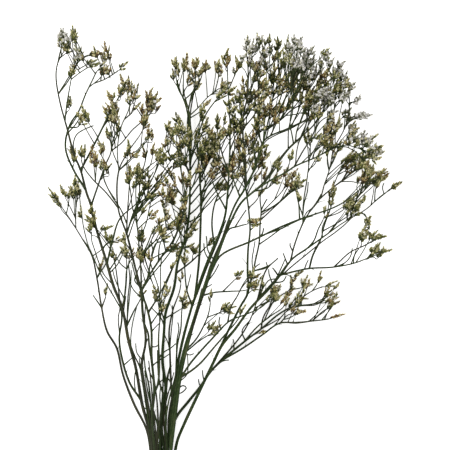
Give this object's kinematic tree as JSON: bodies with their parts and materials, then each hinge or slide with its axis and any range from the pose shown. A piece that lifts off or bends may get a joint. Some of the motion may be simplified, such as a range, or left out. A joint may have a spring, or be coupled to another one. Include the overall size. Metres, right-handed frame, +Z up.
{
  "type": "dried flower bunch",
  "caption": "Loose bunch of dried statice: green cut stems that fan out into fine forked twigs with small papery floret spikes, lying down.",
  "frame": {"origin": "middle of the bunch's box, on the surface that it lies on", "axes": "+Y from the cut ends to the crown, +Z up from the surface, +X to the right seen from above with the crown away from the viewer"},
  "size_m": [0.4248, 0.592, 0.1192],
  "materials": {
    "stem_1": "dry, matt",
    "stem_2": "dry, matt",
    "stem_3": "dry, matt",
    "stem_4": "dry, matt",
    "stem_5": "dry, matt",
    "stem_6": "dry, matt",
    "stem_7": "dry, matt",
    "stem_8": "dry, matt",
    "stem_9": "dry, matt",
    "stem_10": "dry, matt"
  },
  "bodies": {
    "root": {"stem_1": "stem_1", "stem_2": "stem_2", "stem_3": "stem_3", "stem_4": "stem_4", "stem_5": "stem_5", "stem_6": "stem_6", "stem_7": "stem_7", "stem_8": "stem_8", "stem_9": "stem_9", "stem_10": "stem_10"}
  },
  "joints": []
}
